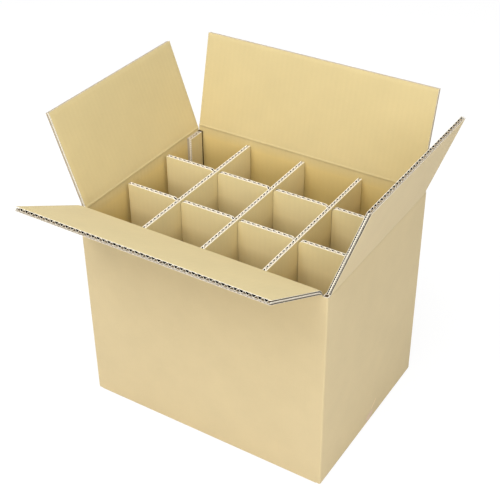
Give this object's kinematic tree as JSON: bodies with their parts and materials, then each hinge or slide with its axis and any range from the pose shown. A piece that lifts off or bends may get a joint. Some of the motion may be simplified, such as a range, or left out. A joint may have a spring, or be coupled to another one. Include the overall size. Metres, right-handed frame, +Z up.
{
  "type": "bottle shipping box",
  "caption": "Open corrugated carton with hinged top flaps and an interlocking divider set that keeps bottles apart in transit.",
  "frame": {"origin": "middle of the carton's underside, on the floor", "axes": "+X along the long walls, -Y towards the front wall, +Z up"},
  "size_m": [0.5214, 0.4838, 0.5082],
  "materials": {
    "carton_board": "matt kraft liner on double-wall board",
    "divider_board": "matt kraft liner on single-wall board"
  },
  "bodies": {
    "carton": {"carton": "carton_board", "long_divider_front": "divider_board", "long_divider_back": "divider_board", "cross_divider_left": "divider_board", "cross_divider_middle": "divider_board", "cross_divider_right": "divider_board"},
    "front_flap": {"front_flap": "carton_board"},
    "back_flap": {"back_flap": "carton_board"},
    "left_flap": {"left_flap": "carton_board"},
    "right_flap": {"right_flap": "carton_board"}
  },
  "joints": [
    {"name": "front_flap_crease", "type": "hinge", "parent": "carton", "child": "front_flap", "pos_m": [0, -0.153, 0.359], "axis": [1, 0, 0], "range_deg": [-153.5, 54.5]},
    {"name": "back_flap_crease", "type": "hinge", "parent": "carton", "child": "back_flap", "pos_m": [0, 0.153, 0.359], "axis": [-1, 0, 0], "range_deg": [-103.5, 104.5]},
    {"name": "left_flap_crease", "type": "hinge", "parent": "carton", "child": "left_flap", "pos_m": [-0.206, 0, 0.3507], "axis": [0, -1, 0], "range_deg": [-109.5, 98.5]},
    {"name": "right_flap_crease", "type": "hinge", "parent": "carton", "child": "right_flap", "pos_m": [0.206, 0, 0.3507], "axis": [0, 1, 0], "range_deg": [-109.5, 98.5]}
  ]
}
